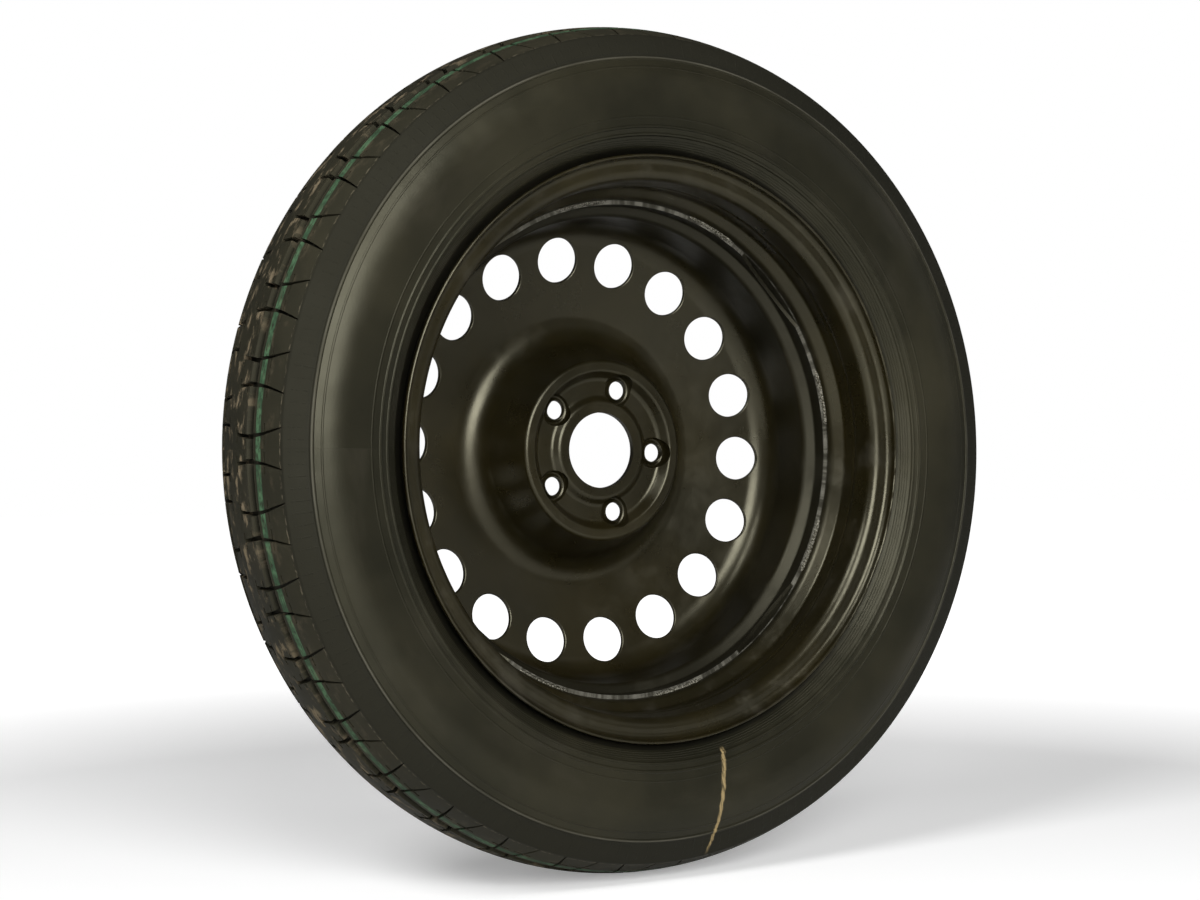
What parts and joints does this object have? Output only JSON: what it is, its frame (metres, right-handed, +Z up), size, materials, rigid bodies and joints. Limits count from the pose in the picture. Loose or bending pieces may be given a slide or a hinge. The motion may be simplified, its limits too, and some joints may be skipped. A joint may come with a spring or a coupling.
{
  "type": "space saver spare wheel",
  "caption": "Narrow high-pressure spare tyre on a deep pressed steel wheel with round vent holes, a bolted hub face and a snap-in valve.",
  "frame": {"origin": "the wheel's centre: on the axle, in the middle plane between the two rim flanges", "axes": "+Y along the axle, away from the vehicle hub, so the hub face looks towards -Y; +Z up as the wheel stands in the picture; +X to the right as seen from the hub side"},
  "size_m": [0.69, 0.1591, 0.69],
  "materials": {
    "tyre_rubber": "semi-matte black rubber with a faint brown film",
    "black_paint": "gloss black dip paint",
    "weld_paint": "gloss black paint over rough weld",
    "valve_rubber": "matte black rubber",
    "brass": "machined brass",
    "seal": "pale seal material",
    "spring_steel": "bright wire",
    "cap_plastic": "moulded black plastic"
  },
  "bodies": {
    "wheel": {"tyre": "tyre_rubber", "rim": "black_paint", "disc": "black_paint", "weld_beads": "weld_paint", "valve_body": "valve_rubber", "valve_stem": "brass", "core_body": "brass", "core_seal": "seal", "core_spring": "spring_steel"},
    "core_pin": {"core_pin": "brass", "core_cup_seal": "seal"},
    "cap": {"cap": "cap_plastic", "cap_seal": "valve_rubber"}
  },
  "joints": [
    {"name": "pin_press", "type": "slide", "parent": "wheel", "child": "core_pin", "axis": [-0.1721, -0.9848, -0.0231], "range_m": [0, 0.0012], "stiffness_N_per_m": 600, "deforming": ["core_spring"]},
    {"name": "cap_off", "type": "slide", "parent": "wheel", "child": "cap", "axis": [0.1721, 0.9848, 0.0231], "range_m": [0, 0.015]}
  ]
}
